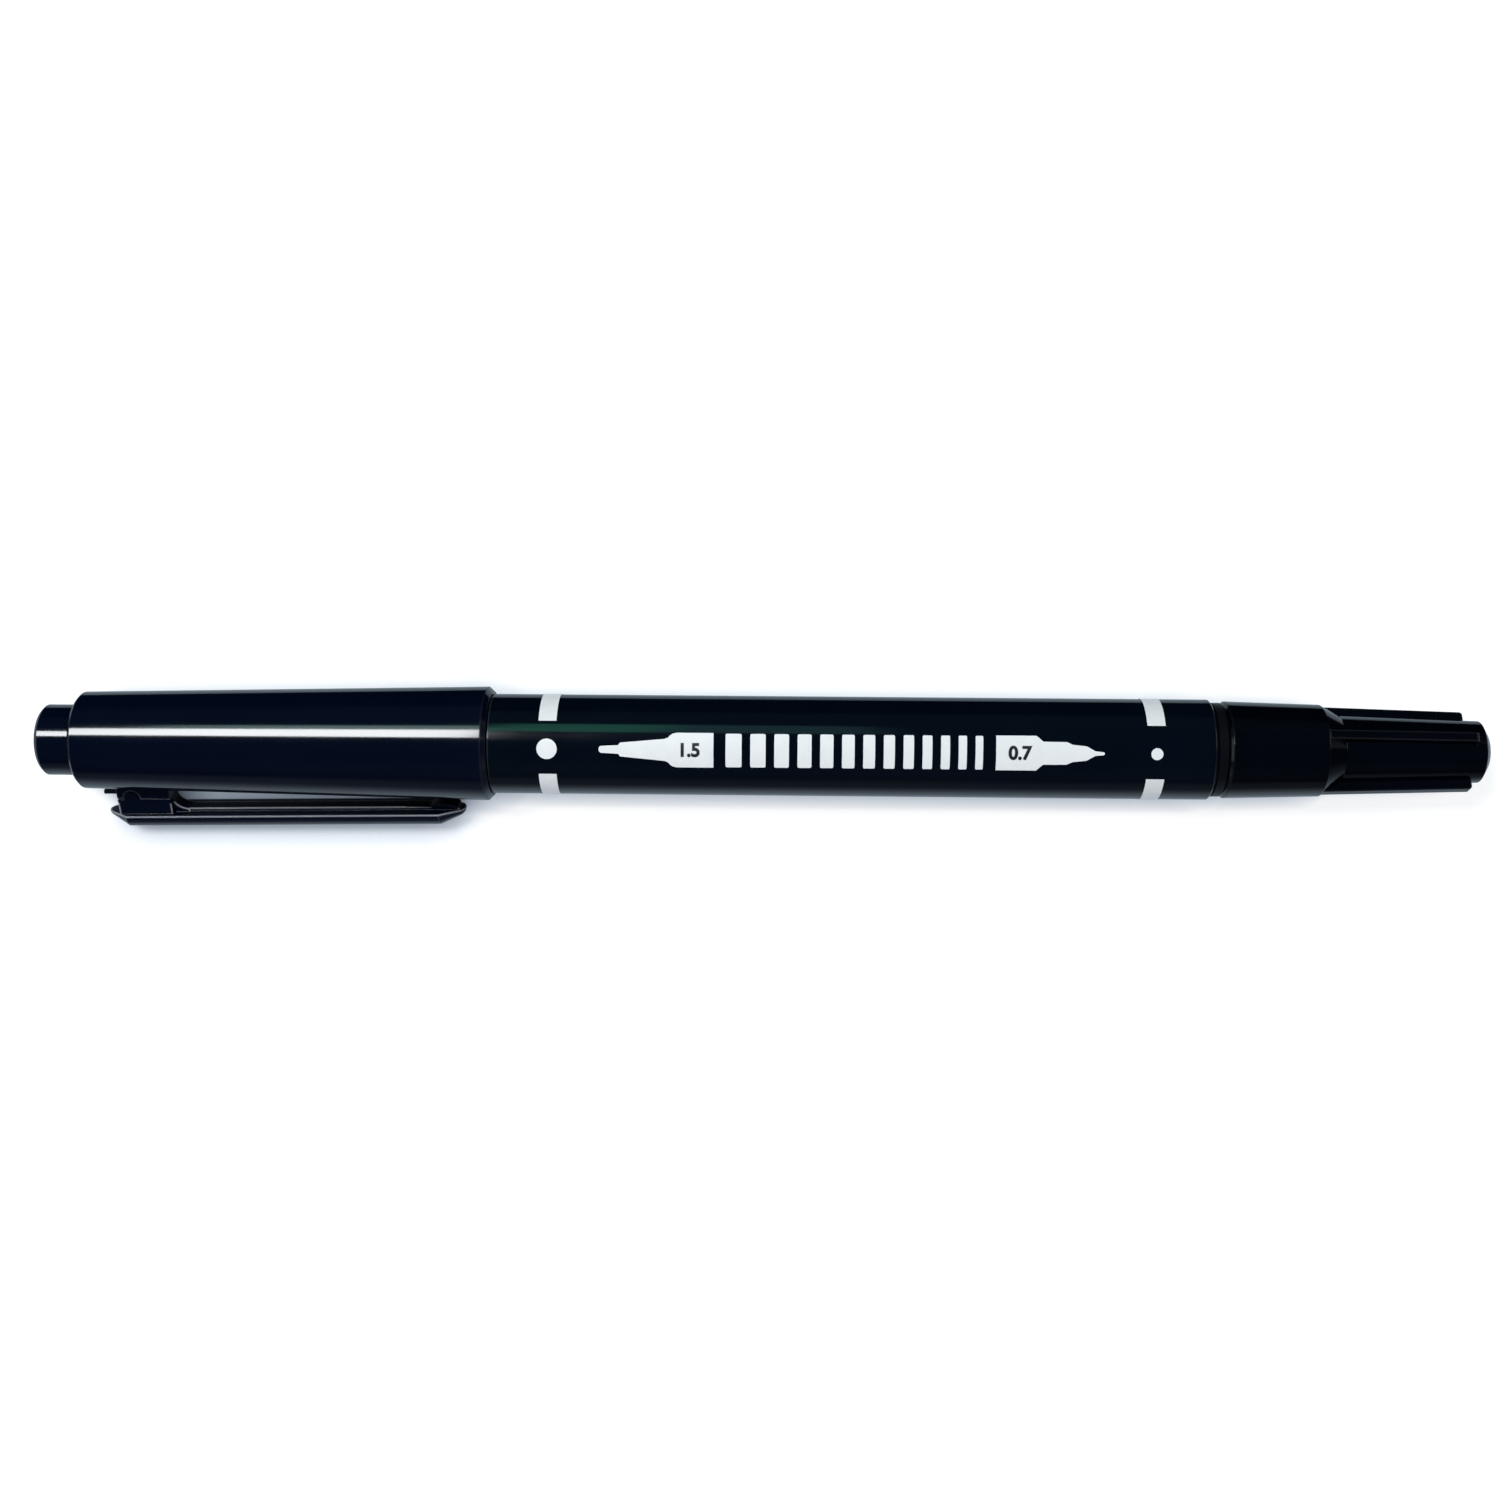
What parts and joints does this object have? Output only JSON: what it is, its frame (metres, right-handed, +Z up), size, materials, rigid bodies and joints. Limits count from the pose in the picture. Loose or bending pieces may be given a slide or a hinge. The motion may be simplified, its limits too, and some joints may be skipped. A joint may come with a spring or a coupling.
{
  "type": "twin-tip marker pen",
  "caption": "Round felt marker with a broad and a fine tip, a large clip cap that pulls off one end and a small ribbed cap that pulls off the other.",
  "frame": {"origin": "on the pen's axis at the middle of the bare grip", "axes": "+X along the pen towards the fine tip, +Z up as the pen lies on a table with the clip down on the -Y side"},
  "size_m": [0.137, 0.0137, 0.0108],
  "materials": {
    "barrel_plastic": "polished injection moulding",
    "cap_plastic": "polished injection moulding",
    "holder_plastic": "satin injection moulding",
    "nib_felt": "bonded polyester fibre",
    "fibre": "loose polyester fibre wet with clear ink",
    "clear_film": "thin clear wrap"
  },
  "bodies": {
    "pen_body": {"barrel": "barrel_plastic", "ink_reservoir": "fibre", "reservoir_film": "clear_film", "broad_nib_holder": "holder_plastic", "broad_nib": "nib_felt", "fine_nib_holder": "holder_plastic", "fine_nib": "nib_felt"},
    "large_cap_body": {"large_cap": "cap_plastic", "large_cap_seal": "cap_plastic"},
    "clip_body": {"clip": "cap_plastic"},
    "small_cap_body": {"small_cap": "cap_plastic"}
  },
  "joints": [
    {"name": "large_cap_pull", "type": "slide", "parent": "pen_body", "child": "large_cap_body", "axis": [-1, 0, 0], "range_m": [0, 0.042]},
    {"name": "small_cap_pull", "type": "slide", "parent": "pen_body", "child": "small_cap_body", "axis": [1, 0, 0], "range_m": [0, 0.03]},
    {"name": "clip_flex", "type": "hinge", "parent": "large_cap_body", "child": "clip_body", "pos_m": [-0.0695, -0.00508, -0.00289], "axis": [0, 0.4948, -0.869], "range_deg": [0, 4], "stiffness_Nm_per_rad": 1.5}
  ]
}
